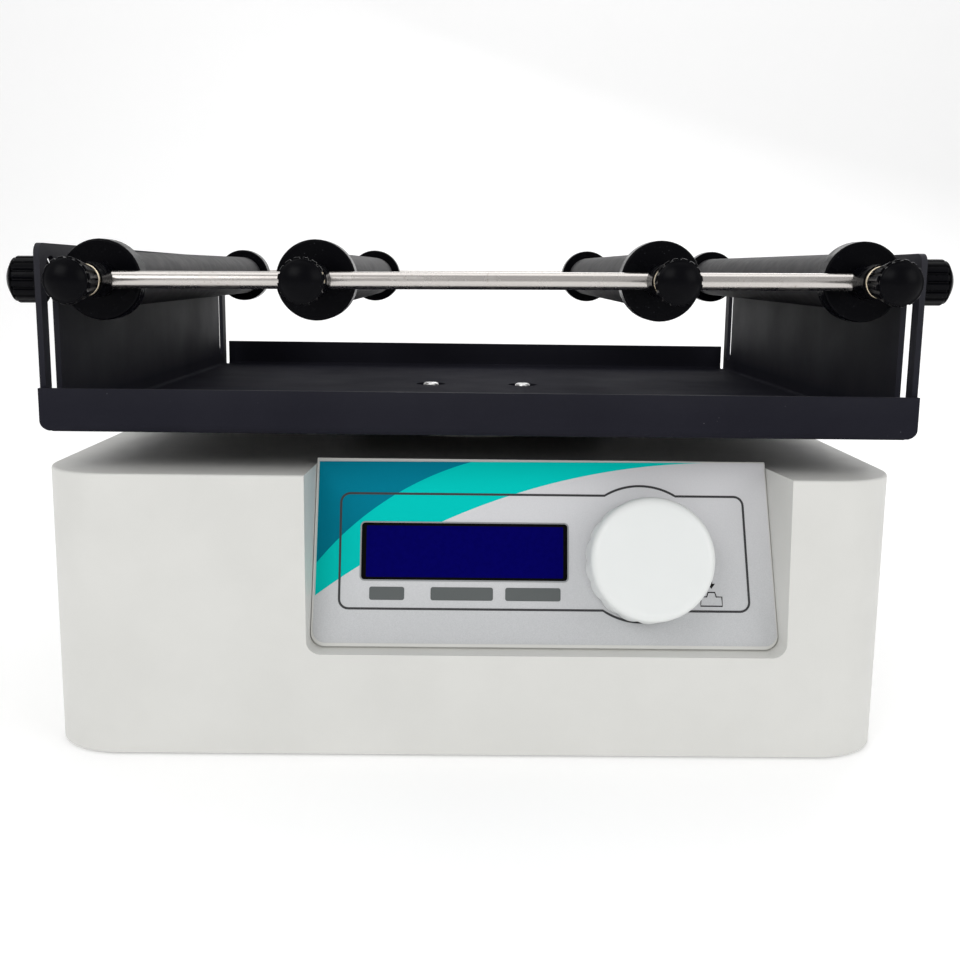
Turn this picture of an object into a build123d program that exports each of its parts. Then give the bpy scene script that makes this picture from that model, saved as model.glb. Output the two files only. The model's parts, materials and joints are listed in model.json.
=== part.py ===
from build123d import *
from math import acos, asin, atan2, cos, radians, sin
import os

# Orbital shaker. Millimetres. The origin is on the drive axis, at the level that the feet stand on.
# +X is to the right of a person who faces the control panel, +Y is to the rear, +Z is up.

# ---- Motion ----
ORBIT_R = 5.0               # throw of every crank, half of the 10 mm orbit
REST_ANGLE = 53.13          # where the platform rests on its orbit, from +X
FIT = 0.05                  # radial clearance of a running fit
GAP = 0.15                  # assembly clearance between still parts

# ---- Housing ----
HOUSING_X = 300.0
HOUSING_Y = 300.0
HOUSING_TOP = 101.0
HOUSING_R = 26.0            # vertical corners
FOOT_H = 4.0
SKIRT_LOW = 1.0             # lower edge of the shell, which hides the feet
WALL = 3.0
BASE_TOP = 7.0              # upper face of the base plate
FOOT_X = 125.0
FOOT_Y = 125.0
FRONT_Y = -HOUSING_Y / 2
REAR_Y = HOUSING_Y / 2
OPENING_R = 45.0            # hole in the top, for the platform's neck
COLLAR_R = 48.0             # splash collar round that hole
COLLAR_TOP = 105.0

# ---- Control panel, in a recess that is cut through the housing's top edge ----
PANEL_SET_BACK = 25.8       # panel at the level of the roof, behind the front face
PANEL_FOOT_BACK = 6.7       # panel's lower edge, behind the front face
PANEL_DROP = 62.4           # from the roof to the panel's lower edge, measured straight down
PANEL_LIP = 2.2             # the panel stands this far above the roof, along its own slope
PANEL_T = 1.2
RECESS_LEFT = -57.0         # left flank at the front face
RECESS_RIGHT = 110.2        # right flank at the front face, at the level of the roof
LEFT_DRAFT = 0.045          # how far a flank closes in for each millimetre of depth
RIGHT_DRAFT = 0.12
RIGHT_LEAN = 0.021          # how far the right flank leans out for each millimetre down
RECESS_DROP = 63.4          # recess floor at the front face, below the roof
FLOOR_RISE = 0.04           # how far the recess floor rises for each millimetre of depth
RECESS_R = 5.0
RECESS_WALL = 2.5
TILT = atan2(PANEL_SET_BACK - PANEL_FOOT_BACK, PANEL_DROP)
PANEL_H = PANEL_DROP / cos(TILT)
PANEL = Plane(
    origin=(0, FRONT_Y + PANEL_SET_BACK, HOUSING_TOP),
    x_dir=(1, 0, 0),
    z_dir=(0, -cos(TILT), sin(TILT)),
)
WINDOW_X = -2.0
WINDOW_Y = -31.4            # along the panel, from the level of the roof
WINDOW_W = 74.6
WINDOW_H = 21.0
DIAL_X = 63.5
DIAL_Y = -34.2
DIAL_R = 22.4
DIAL_FACE = 16.5            # front of the dial, above the panel
DIAL_ROOF = 13.0            # inside of its face
DIAL_BOSS_LOW = 4.4
SHAFT_END = 12.0
BOARD_Z = -15.6             # back of the panel board, behind the panel's face

# ---- Drive ----
MAIN_R = 10.0               # eccentric shaft
PIN_R = 7.5                 # its upper pin
PULLEY_R = 45.0
MOTOR_PULLEY_R = 15.0
MOTOR_DIST = 92.0
MOTOR_ANGLE = 30.0
MOTOR_R = 28.0
MOTOR_X = MOTOR_DIST * cos(radians(MOTOR_ANGLE))
MOTOR_Y = MOTOR_DIST * sin(radians(MOTOR_ANGLE))
PULLEY_LOW = 46.0
PULLEY_HIGH = 57.0
FLANGE_T = 1.0
FLANGE_OVER = 2.5           # pulley flanges stand this far over the belt's seat
BELT_GAP = 0.3
BELT_T = 1.5
CRANK_LOW = 70.0
CRANK_HIGH = 76.0
WEIGHT_R = 62.0
WEIGHT_LOW = 59.0
MAIN_BEARING = (10.0, 21.0, 12.0)       # bore radius, outer radius, width
CARRIER_BEARING = (7.5, 17.5, 11.0)
SMALL_BEARING = (4.0, 11.0, 7.0)
IDLER_DIST = 85.0
IDLER_ANGLES = (90.0, 210.0, 330.0)
IDLER_PIN_R = 4.0
POST_TOP = 66.0
CARRIER_LOW = 78.0
CARRIER_HIGH = 89.0

# ---- Platform ----
TRAY_X = ORBIT_R * cos(radians(REST_ANGLE))
TRAY_Y = ORBIT_R * sin(radians(REST_ANGLE))
TRAY_SIZE = 300.0
TRAY_LOW = 114.4
SHEET = 2.0
BEND_R = 3.5
LIP_H = 15.0
SIDE_H = 63.5
SIDE_CORNER_R = 4.0
CORNER_GAP = 2.0            # between the rear lip and the side wall
LIP_GAP = 0.4               # between the full-width front lip and the side walls behind it
LIP_CORNER_R = 4.0
SLOT_W = 10.2
SLOT_IN = 13.3              # middle of a slot, from the tray's front or rear edge
SLOT_LOW = 8.0              # above the tray's underside
SLOT_TOP_LAND = 4.1
TRAY_SCREW_X = 22.5
TRAY_SCREW_Y = 27.5
DIMPLE_R = 7.2              # pressed recess round each tray screw
CUP_R = 58.0
CUP_LOW = 102.4
CUP_WALL = 3.0
CUP_TOP_T = 2.0
HUB_FLANGE_R = 44.0
HUB_FLANGE_T = 6.0
NECK_R = 30.0
NECK_BORE_R = 20.0

# ---- Clamp frame ----
ROD_R = 3.0
ROD_Z = TRAY_LOW + 53.6      # in the middle of the tray
RIGHT_UP = 0.48             # degrees: the frame is clamped a little askew in its slots
REAR_UP = 0.43
ROD_Y = TRAY_SIZE / 2 - SLOT_IN + 0.5
ROD_IN_KNOB = 8.5           # length of rod inside a frame knob
BAR_PLACES = (-132.2, -57.7, 62.6, 133.4)      # from the tray's middle
DISC_R = 14.0
DISC_FRONT = 133.5          # outer face of an end disc, from the middle of the bar
DISC_T = 9.0
BOSS_R = 6.0
BOSS_END = 151.0
CORE_R = 6.0
CORE_SEAT = 5.0
SLEEVE_R = 10.0
CROSS_HOLE_R = 3.08
SCREW_R = 2.5
SCREW_TIP_GAP = 0.3
RING_R = 5.5                # brass seat ring at the foot of a knob
RING_T = 1.5
KNOB_R = 7.7                # widest part of a bar knob, behind its rim
KNOB_FOOT_R = 5.4
KNOB_L = 20.0
FRAME_KNOB_R = 8.0
FRAME_KNOB_L = 12.3
KNOB_RIM_IN = 0.6           # step from the widest part to the rim
KNOB_RIM_T = 1.0
KNOB_DOME_IN = 1.1          # step from the widest part to the foot of the dome
KNOB_DOME_RISE = 2.5

# ---- Rear connections ----
INLET_X = -95.0
SWITCH_X = -50.0
REAR_PORT_Z = 42.0
ROCKER_TILT = -8.0
ROCKER_Y = REAR_Y - 4.0
ROCKER_PIN_R = 1.2

PARTS = {}


def block(x0, x1, y0, y1, z0, z1):
    """An upright box between two corners."""
    place = Pos((x0 + x1) / 2, (y0 + y1) / 2, (z0 + z1) / 2)
    return place * Box(x1 - x0, y1 - y0, z1 - z0)


def disc(x, y, radius, z0, z1):
    """An upright cylinder."""
    return Pos(x, y, (z0 + z1) / 2) * Cylinder(radius, z1 - z0)


def ring(x, y, outer, inner, z0, z1):
    return disc(x, y, outer, z0, z1) - disc(x, y, inner, z0, z1)


def rounded_block(width, depth, radius, z0, z1):
    """A block centred on the drive axis, with rounded vertical corners."""
    return Pos(0, 0, z0) * extrude(RectangleRounded(width, depth, radius), z1 - z0)


def rod_along_x(y, z, radius, x0, x1):
    return Pos((x0 + x1) / 2, y, z) * Rot(0, 90, 0) * Cylinder(radius, x1 - x0)


def rod_along_y(x, z, radius, y0, y1):
    return Pos(x, (y0 + y1) / 2, z) * Rot(90, 0, 0) * Cylinder(radius, y1 - y0)


def on_panel(x, y, z0, z1, width, height):
    """A block on the panel's plane, with z measured out of the panel's face."""
    return PANEL * Pos(x, y, (z0 + z1) / 2) * Box(width, height, z1 - z0)


def panel_disc(x, y, radius, z0, z1):
    return PANEL * Pos(x, y, (z0 + z1) / 2) * Cylinder(radius, z1 - z0)


def polar(distance, angle):
    return distance * cos(radians(angle)), distance * sin(radians(angle))


IDLERS = [polar(IDLER_DIST, angle) for angle in IDLER_ANGLES]


# ---------------------------------------------------------------- housing

def left_flank(depth):
    """X of the recess's left flank, at a depth behind the front face."""
    return RECESS_LEFT + LEFT_DRAFT * depth


def right_flank(depth, z):
    """X of the recess's right flank, at a depth and a height."""
    return RECESS_RIGHT + RIGHT_LEAN * (HOUSING_TOP - z) - RIGHT_DRAFT * depth


def recess_section(y, grow):
    """Outline of the recess at one depth: open at the top, with two rounded lower corners."""
    depth = y - FRONT_Y
    left = left_flank(depth) - grow
    low = HOUSING_TOP - RECESS_DROP + FLOOR_RISE * depth - grow
    high = HOUSING_TOP + 10.0
    corners = [
        (left, high), (left, low),
        (right_flank(depth, low) + grow, low), (right_flank(depth, high) + grow, high),
    ]
    plane = Plane(origin=(0, y, 0), x_dir=(1, 0, 0), z_dir=(0, -1, 0))
    shape = make_face(Polyline(*corners, close=True))
    lower = shape.vertices().sort_by(Axis.Y)[:2]
    return plane * fillet(lower, RECESS_R + grow)


def recess(grow, seat):
    """The space in front of the panel, grown by a wall; seat is how far it goes behind the face."""
    solid = loft([recess_section(FRONT_Y - 2.0, grow), recess_section(FRONT_Y + 34.0, grow)])
    in_front = PANEL * Pos(0, 0, 200.0 - seat) * Box(600, 600, 400)
    return solid & in_front


def housing_shell():
    outer = rounded_block(HOUSING_X, HOUSING_Y, HOUSING_R, SKIRT_LOW, HOUSING_TOP)
    outer = fillet(outer.edges().group_by(Axis.Z)[-1], 0.9)
    inner = rounded_block(
        HOUSING_X - 2 * WALL, HOUSING_Y - 2 * WALL, HOUSING_R - WALL, 0, HOUSING_TOP - WALL
    )
    shell = outer - inner
    shell += recess(RECESS_WALL, PANEL_T + RECESS_WALL) & outer
    for x in (-FOOT_X, FOOT_X):
        for y in (-FOOT_Y, FOOT_Y):
            shell += disc(x, y, 5.0, BASE_TOP, HOUSING_TOP - WALL / 2)
            shell -= disc(x, y, 2.0, BASE_TOP, 24.0)
    shell += ring(0, 0, COLLAR_R, OPENING_R, HOUSING_TOP - WALL, COLLAR_TOP)
    shell -= disc(0, 0, OPENING_R, HOUSING_TOP - 2 * WALL, COLLAR_TOP + 1)
    shell -= recess(0, PANEL_T)
    shell -= on_panel(WINDOW_X, WINDOW_Y, -8, 1, WINDOW_W + 4, WINDOW_H + 8)
    shell -= panel_disc(DIAL_X, DIAL_Y, 4.5, -8, 1)
    shell -= block(INLET_X - 13.9, INLET_X + 13.9, REAR_Y - 9, REAR_Y + 9,
                   REAR_PORT_Z - 10.2, REAR_PORT_Z + 10.2)
    shell -= block(SWITCH_X - 6.6, SWITCH_X + 6.6, REAR_Y - 9, REAR_Y + 9,
                   REAR_PORT_Z - 9.8, REAR_PORT_Z + 9.8)
    return shell


def base_plate():
    plate = rounded_block(
        HOUSING_X - 2 * WALL - 2 * GAP, HOUSING_Y - 2 * WALL - 2 * GAP, HOUSING_R - WALL - GAP,
        FOOT_H, BASE_TOP,
    )
    for x in (-FOOT_X, FOOT_X):
        for y in (-FOOT_Y, FOOT_Y):
            plate -= disc(x, y, 2.2, 0, BASE_TOP)
    for x, y in drive_screw_places():
        plate -= disc(x, y, 2.05, 0, BASE_TOP)
    for board in (CONTROL_BOARD, SUPPLY_BOARD):
        for x, y in board_corners(board):
            plate += disc(x, y, 3.5, BASE_TOP, BOARD_SEAT)
    return plate


def rubber_feet():
    feet = []
    for x in (-FOOT_X, FOOT_X):
        for y in (-FOOT_Y, FOOT_Y):
            foot = disc(x, y, 12.0, 0, FOOT_H) - disc(x, y, 4.6, 0, FOOT_H)
            feet.append(chamfer(foot.edges().group_by(Axis.Z)[0].sort_by(SortBy.LENGTH)[-1], 0.8))
    return feet


def screw(x, y, head_r, head_low, head_high, shank_r, shank_low, shank_high):
    return disc(x, y, head_r, head_low, head_high) + disc(x, y, shank_r, shank_low, shank_high)


def housing_screws():
    screws = []
    for x in (-FOOT_X, FOOT_X):
        for y in (-FOOT_Y, FOOT_Y):
            screws.append(screw(x, y, 3.8, 1.2, FOOT_H, 1.95, FOOT_H, 22.0))
    return screws


# ---------------------------------------------------------------- control panel

def panel_corner(y, side):
    """A point on the panel's left or right edge, just inside the flank of the recess."""
    depth = PANEL_SET_BACK + y * sin(TILT)
    if side < 0:
        return left_flank(depth) + 2 * GAP, y
    return right_flank(depth, HOUSING_TOP + y * cos(TILT)) - 2 * GAP, y


def front_panel():
    """A sheet that fills the back of the recess and stands a little above the roof."""
    corners = [
        panel_corner(PANEL_LIP, -1), panel_corner(-PANEL_H, -1),
        panel_corner(-PANEL_H, 1), panel_corner(PANEL_LIP, 1),
    ]
    outline = make_face(Polyline(*corners, close=True))
    outline = fillet(outline.vertices().sort_by(Axis.Y)[:2], RECESS_R)
    sheet = PANEL * Pos(0, 0, -PANEL_T) * extrude(outline, PANEL_T)
    sheet -= on_panel(WINDOW_X, WINDOW_Y, -3, 1, WINDOW_W, WINDOW_H)
    return sheet - panel_disc(DIAL_X, DIAL_Y, 3.8, -3, 1)


def display_window():
    return on_panel(WINDOW_X, WINDOW_Y, -PANEL_T, 0.3, WINDOW_W - 0.2, WINDOW_H - 0.2)


def display_module():
    bezel = on_panel(WINDOW_X, WINDOW_Y, -8, -PANEL_T - 0.1, 71.2, 24.2)
    board = on_panel(WINDOW_X, WINDOW_Y, -9.6, -8, 80, 36)
    return [bezel, board]


def panel_board():
    board = on_panel(30, WINDOW_Y, BOARD_Z, BOARD_Z + 1.6, 140, 48)
    parts = [board]
    for x in (-36, 96):
        for y in (WINDOW_Y - 21.3, WINDOW_Y + 21.3):
            spacer = panel_disc(x, y, 2.4, BOARD_Z + 1.6, -PANEL_T - RECESS_WALL)
            parts.append(spacer)
    return parts


def encoder_body():
    top = BOARD_Z + 8.6
    body = on_panel(DIAL_X, DIAL_Y, BOARD_Z + 1.6, top, 12, 13)
    body += panel_disc(DIAL_X, DIAL_Y, 3.5, top, 3.0)
    body -= panel_disc(DIAL_X, DIAL_Y, 3.0 + FIT, BOARD_Z + 4.0, 3.0)
    return body


def push_plunger():
    return panel_disc(DIAL_X, DIAL_Y, 2.6, BOARD_Z + 4.6, BOARD_Z + 6.0)


def encoder_shaft():
    return panel_disc(DIAL_X, DIAL_Y, 3.0, BOARD_Z + 6.0, SHAFT_END)


def dial():
    """A hollow cap with a boss for the shaft; it turns about the panel's normal."""
    low = 1.2
    outer = [
        (0, low), (DIAL_R, low), (DIAL_R - 0.4, DIAL_FACE - 4.0),
        (DIAL_R - 2.4, DIAL_FACE - 0.8), (DIAL_R - 5.0, DIAL_FACE), (0, DIAL_FACE),
    ]
    profile = Plane.XZ * make_face(Polyline(*[(x, z) for x, z in outer], close=True))
    cap = revolve(profile, Axis.Z)
    cap -= disc(0, 0, DIAL_R - 3.0, low, DIAL_ROOF)
    cap += disc(0, 0, 6.0, DIAL_BOSS_LOW, DIAL_ROOF)
    cap -= disc(0, 0, 3.0, DIAL_BOSS_LOW, SHAFT_END)
    return PANEL * Pos(DIAL_X, DIAL_Y, 0) * cap


# ---------------------------------------------------------------- drive

def bearing(x, y, low, sizes):
    """A shielded ball bearing: one ring with a shallow groove in both faces."""
    bore, outer, width = sizes
    body = ring(x, y, outer, bore + FIT, low, low + width)
    middle = (bore + outer) / 2
    groove = 0.22 * (outer - bore)
    for z0, z1 in ((low - 1, low + 0.4), (low + width - 0.4, low + width + 1)):
        body -= ring(x, y, middle + groove, middle - groove, z0, z1)
    return body


def bearing_housing():
    body = disc(0, 0, 42.0, BASE_TOP, 14.0) + disc(0, 0, 28.0, BASE_TOP, 44.0)
    body -= disc(0, 0, 14.0, BASE_TOP, 44.0)
    body -= disc(0, 0, MAIN_BEARING[1], 11.0, 23.0)
    body -= disc(0, 0, MAIN_BEARING[1], 32.0, 44.0)
    for angle in range(45, 360, 90):
        x, y = polar(35.0, angle)
        body -= disc(x, y, 2.05, BASE_TOP, 14.0)
    return body


def base_bearings():
    units = [bearing(0, 0, low, MAIN_BEARING) for low in (11.0, 32.0)]
    for x, y in IDLERS:
        for low in (POST_TOP - 18.0, POST_TOP - 7.0):
            units.append(bearing(x, y, low, SMALL_BEARING))
    return units


def eccentric_shaft():
    shaft = disc(0, 0, MAIN_R, 9.5, CRANK_LOW)
    shaft += disc(0, 0, 27.0, CRANK_LOW, CRANK_HIGH)
    shaft += disc(TRAY_X, TRAY_Y, PIN_R + 3.0, CRANK_HIGH, CRANK_HIGH + 1.2)
    shaft += disc(TRAY_X, TRAY_Y, PIN_R, CRANK_HIGH, CARRIER_HIGH + 1.0)
    return shaft


def pulley(x, y, radius, bore):
    """A belt pulley with two flanges."""
    body = disc(x, y, radius, PULLEY_LOW, PULLEY_HIGH)
    body += disc(x, y, radius + FLANGE_OVER, PULLEY_LOW, PULLEY_LOW + FLANGE_T)
    body += disc(x, y, radius + FLANGE_OVER, PULLEY_HIGH - FLANGE_T, PULLEY_HIGH)
    return body - disc(x, y, bore, PULLEY_LOW, PULLEY_HIGH)


def driven_pulley():
    body = pulley(0, 0, PULLEY_R, MAIN_R)
    for angle in range(0, 360, 60):
        x, y = polar(27.0, angle)
        body -= disc(x, y, 9.0, PULLEY_LOW, PULLEY_HIGH)
    return body


def counterweight():
    """Half disc opposite the crank pin, with a hub that is clamped to the shaft."""
    half = disc(0, 0, WEIGHT_R, WEIGHT_LOW, CRANK_LOW)
    half -= block(-6, WEIGHT_R + 1, -WEIGHT_R - 1, WEIGHT_R + 1, WEIGHT_LOW, CRANK_LOW)
    body = half + disc(0, 0, 20.0, WEIGHT_LOW, CRANK_LOW)
    return Rot(0, 0, REST_ANGLE) * (body - disc(0, 0, MAIN_R, WEIGHT_LOW, CRANK_LOW))


def belt_outline(large, small):
    """Two circles and their outer tangents, with the small circle at the motor."""
    spread = acos((large - small) / MOTOR_DIST)
    corners = []
    for side in (1, -1):
        dx, dy = cos(side * spread), sin(side * spread)
        pair = [(large * dx, large * dy), (MOTOR_DIST + small * dx, small * dy)]
        corners += pair if side > 0 else pair[::-1]
    web = make_face(Polyline(*corners, close=True))
    return web + Circle(large) + Pos(MOTOR_DIST, 0) * Circle(small)


def drive_belt():
    inner = belt_outline(PULLEY_R + BELT_GAP, MOTOR_PULLEY_R + BELT_GAP)
    outer = belt_outline(PULLEY_R + BELT_GAP + BELT_T, MOTOR_PULLEY_R + BELT_GAP + BELT_T)
    loop = extrude(outer - inner, PULLEY_HIGH - PULLEY_LOW - 2 * FLANGE_T - 2 * BELT_GAP)
    return Rot(0, 0, MOTOR_ANGLE) * Pos(0, 0, PULLEY_LOW + FLANGE_T + BELT_GAP) * loop


def drive_motor():
    can = disc(MOTOR_X, MOTOR_Y, MOTOR_R, 9.5, 38.0)
    can += disc(MOTOR_X, MOTOR_Y, 11.0, 38.0, 41.0)
    for angle in range(0, 360, 30):
        x, y = polar(MOTOR_R + 0.6, angle)
        can -= disc(MOTOR_X + x, MOTOR_Y + y, 1.6, 13.0, 33.0)
    return can - disc(MOTOR_X, MOTOR_Y, 4.0 + FIT, 9.5, 41.0)


def motor_shaft():
    return disc(MOTOR_X, MOTOR_Y, 4.0, 11.0, PULLEY_HIGH + 1.0)


MOTOR_LEGS = [(MOTOR_X + dx, MOTOR_Y + dy) for dx in (-27, 27) for dy in (-27, 27)]


def motor_bracket():
    plate = block(MOTOR_X - 33, MOTOR_X + 33, MOTOR_Y - 33, MOTOR_Y + 33, 38.0, 42.0)
    plate = fillet(plate.edges().filter_by(Axis.Z), 5.0)
    plate -= disc(MOTOR_X, MOTOR_Y, 11.2, 38.0, 42.0)
    for x, y in MOTOR_LEGS:
        plate += disc(x, y, 4.5, BASE_TOP, 38.0)
        plate -= disc(x, y, 2.05, 22.0, 42.0)
    return plate


def idler_posts():
    posts = []
    for x, y in IDLERS:
        post = disc(x, y, 22.0, BASE_TOP, 11.0) + disc(x, y, 14.0, BASE_TOP, POST_TOP)
        post -= disc(x, y, 8.0, 20.0, POST_TOP)
        post -= disc(x, y, SMALL_BEARING[1], POST_TOP - 18.0, POST_TOP)
        for side in (-1, 1):
            post -= disc(x + 18.0 * side, y, 2.05, BASE_TOP, 11.0)
        posts.append(post)
    return posts


def drive_screw_places():
    """The screws that go down into the base plate."""
    places = [polar(35.0, angle) for angle in range(45, 360, 90)]
    for x, y in IDLERS:
        places += [(x - 18.0, y), (x + 18.0, y)]
    return places


def drive_screws():
    """Equal cap screws: bearing housing, idler posts and motor bracket."""
    seats = []
    for index, (x, y) in enumerate(drive_screw_places()):
        seats.append((x, y, 14.0 if index < 4 else 11.0))
    for x, y in MOTOR_LEGS:
        seats.append((x, y, 42.0))
    screws = []
    for x, y, seat in seats:
        item = screw(x, y, 3.5, seat, seat + 4.0, 2.0, seat - 7.0, seat)
        socket = Pos(x, y, seat + 2.5) * extrude(RegularPolygon(1.7, 6), 2.0)
        screws.append(item - socket)
    return screws


def idler_crank(x, y):
    """A small crank with the same throw as the eccentric shaft."""
    crank = disc(x, y, IDLER_PIN_R, 47.0, 69.0)
    crank += disc(x, y, 12.0, 69.0, 75.0)
    crank += disc(x + TRAY_X, y + TRAY_Y, IDLER_PIN_R, 75.0, CARRIER_HIGH)
    return crank


# ---------------------------------------------------------------- platform
# Platform parts are drawn about the tray's middle, and carried to its place on the orbit.

ON_ORBIT = Pos(TRAY_X, TRAY_Y, 0)


def carrier_plate():
    """Three-armed plate that takes the eccentric pin and the idler pins."""
    plate = disc(0, 0, 36.0, CARRIER_LOW, CARRIER_HIGH)
    for angle, (x, y) in zip(IDLER_ANGLES, IDLERS):
        plate += Rot(0, 0, angle) * block(0, IDLER_DIST, -11.0, 11.0, CARRIER_LOW, CARRIER_HIGH)
        plate += disc(x, y, 16.0, CARRIER_LOW, CARRIER_HIGH)
    for x, y in IDLERS:
        plate -= disc(x, y, SMALL_BEARING[1], CARRIER_LOW, CARRIER_HIGH)
    plate -= disc(0, 0, CARRIER_BEARING[1], CARRIER_LOW, CARRIER_HIGH)
    return ON_ORBIT * plate


def carrier_bearings():
    units = [bearing(TRAY_X, TRAY_Y, CARRIER_LOW, CARRIER_BEARING)]
    for x, y in IDLERS:
        units.append(bearing(TRAY_X + x, TRAY_Y + y, CARRIER_LOW + 1.5, SMALL_BEARING))
    return units


TRAY_SCREWS = [(sx * TRAY_SCREW_X, sy * TRAY_SCREW_Y) for sx in (-1, 1) for sy in (-1, 1)]


def platform_hub():
    top = TRAY_LOW - CUP_TOP_T
    hub = disc(0, 0, HUB_FLANGE_R, top - HUB_FLANGE_T, top)
    hub += disc(0, 0, NECK_R, CARRIER_HIGH, top)
    hub -= disc(0, 0, NECK_BORE_R, CARRIER_HIGH, top)
    for x, y in TRAY_SCREWS:
        hub -= disc(x, y, 2.0, top - HUB_FLANGE_T, top)
    return ON_ORBIT * hub


def splash_cup():
    cup = disc(0, 0, CUP_R, CUP_LOW, TRAY_LOW)
    cup = fillet(cup.edges().group_by(Axis.Z)[0], 1.0)
    cup -= disc(0, 0, CUP_R - CUP_WALL, CUP_LOW - 1, TRAY_LOW - CUP_TOP_T)
    for x, y in TRAY_SCREWS:
        cup -= disc(x, y, DIMPLE_R + 1.6, CUP_LOW, TRAY_LOW)
    return ON_ORBIT * cup


def folded_channel(length_x, length_y, height, across):
    """A sheet folded up on two sides; across is the axis that the folds run along."""
    outer = Pos(0, 0, height / 2) * Box(length_x, length_y, height)
    outer = fillet(outer.edges().filter_by(across).group_by(Axis.Z)[0], BEND_R)
    cut_x = length_x - 2 * SHEET if across == Axis.Y else length_x + 2
    cut_y = length_y - 2 * SHEET if across == Axis.X else length_y + 2
    inner = Pos(0, 0, SHEET + height / 2) * Box(cut_x, cut_y, height)
    inner = fillet(inner.edges().filter_by(across).group_by(Axis.Z)[0], BEND_R - SHEET)
    return outer - inner


def lip(width, side):
    """The front or rear lip, with the strip of the floor that it is folded from."""
    band = BEND_R + 0.5
    channel = folded_channel(width, TRAY_SIZE, LIP_H, Axis.X)
    return channel & (Pos(0, side * (TRAY_SIZE - band) / 2, LIP_H / 2) * Box(width, band, LIP_H))


def front_lip():
    """Full-width lip with two rounded lower corners and a notch behind each of them."""
    half = TRAY_SIZE / 2
    outline = Pos(0, LIP_H / 2) * Rectangle(TRAY_SIZE, LIP_H)
    outline = fillet(outline.vertices().sort_by(Axis.Y)[:2], LIP_CORNER_R)
    plane = Plane(origin=(0, 0, 0), x_dir=(1, 0, 0), z_dir=(0, -1, 0))
    body = lip(TRAY_SIZE, -1) & (plane * extrude(outline, half + 1))
    for x0, x1 in ((-half - 1, BEND_R - half), (half - BEND_R, half + 1)):
        body -= block(x0, x1, SHEET - half, 0, -1, LIP_H)
    return body


def tray():
    half = TRAY_SIZE / 2
    walls = folded_channel(TRAY_SIZE, TRAY_SIZE, SIDE_H, Axis.Y)
    walls -= block(-half - 1, half + 1, -half - 1, SHEET + LIP_GAP - half, -1, SIDE_H + 1)
    walls = fillet(walls.edges().filter_by(Axis.X).group_by(Axis.Z)[-1], SIDE_CORNER_R)
    for side in (-1, 1):
        zone = Pos(0, side * (half - BEND_R / 2 + 1.25), SIDE_H / 2)
        walls -= zone * Box(TRAY_SIZE - 2 * SHEET, BEND_R + 3.5, SIDE_H + 2)
    body = walls + front_lip() + lip(TRAY_SIZE - 2 * SHEET - 2 * CORNER_GAP, 1)
    slot_high = SIDE_H - SLOT_TOP_LAND
    for side in (-1, 1):
        slot = SlotOverall(slot_high - SLOT_LOW, SLOT_W, rotation=90)
        place = Plane(origin=(0, side * (half - SLOT_IN), (SLOT_LOW + slot_high) / 2),
                      x_dir=(0, 1, 0), z_dir=(1, 0, 0))
        body -= place * extrude(slot, TRAY_SIZE, both=True)
    for x, y in TRAY_SCREWS:
        body -= disc(x, y, DIMPLE_R, 0, SHEET)
        body += disc(x, y, DIMPLE_R + 1.4, -SHEET, 0)
        body -= disc(x, y, 2.2, -SHEET, 0)
    return ON_ORBIT * Pos(0, 0, TRAY_LOW) * body


def tray_screws():
    """Button-headed screws in the dimples of the tray's floor."""
    screws = []
    for x, y in TRAY_SCREWS:
        item = screw(x, y, 3.8, TRAY_LOW, TRAY_LOW + 2.8, 1.95, TRAY_LOW - 7.0, TRAY_LOW)
        item = fillet(item.edges().group_by(Axis.Z)[-1], 1.6)
        cross = Box(3.4, 0.9, 2.0) + Box(0.9, 3.4, 2.0)
        screws.append(ON_ORBIT * (item - Pos(x, y, TRAY_LOW + 2.6) * cross))
    return screws


# ---------------------------------------------------------------- clamp frame

# Its parts are drawn about the middle of the frame at z = 0, and carried to its place on the tray.

WALL_OUT = TRAY_SIZE / 2            # outer face of a side wall, from the tray's middle
IN_SLOTS = ON_ORBIT * Pos(0, 0, ROD_Z) * Rot(REAR_UP, 0, 0) * Rot(0, -RIGHT_UP, 0)


def cross_rods():
    reach = WALL_OUT + ROD_IN_KNOB
    return [
        IN_SLOTS * rod_along_x(side * ROD_Y, 0, ROD_R, -reach, reach) for side in (-1, 1)
    ]


def knob_head(length, foot_r, wide_r):
    """Grip of a clamp knob, standing on its foot: a tapered skirt, a rim and a shallow dome."""
    rim_top = length - KNOB_DOME_RISE
    rim_low = rim_top - KNOB_RIM_T
    dome_r = wide_r - KNOB_DOME_IN
    sphere_r = (dome_r ** 2 + KNOB_DOME_RISE ** 2) / (2 * KNOB_DOME_RISE)
    halfway = asin(dome_r / sphere_r) / 2
    crown = (sphere_r * sin(halfway), length - sphere_r * (1 - cos(halfway)))
    side = Polyline(
        (0, length), (0, 0), (foot_r - 0.4, 0), (foot_r, 0.5), (wide_r, rim_low - 0.4),
        (wide_r - KNOB_RIM_IN, rim_low), (wide_r - KNOB_RIM_IN, rim_top), (dome_r, rim_top),
    )
    profile = make_face([side, ThreePointArc((dome_r, rim_top), crown, (0, length))])
    return revolve(Plane.XZ * profile, Axis.Z)


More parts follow.
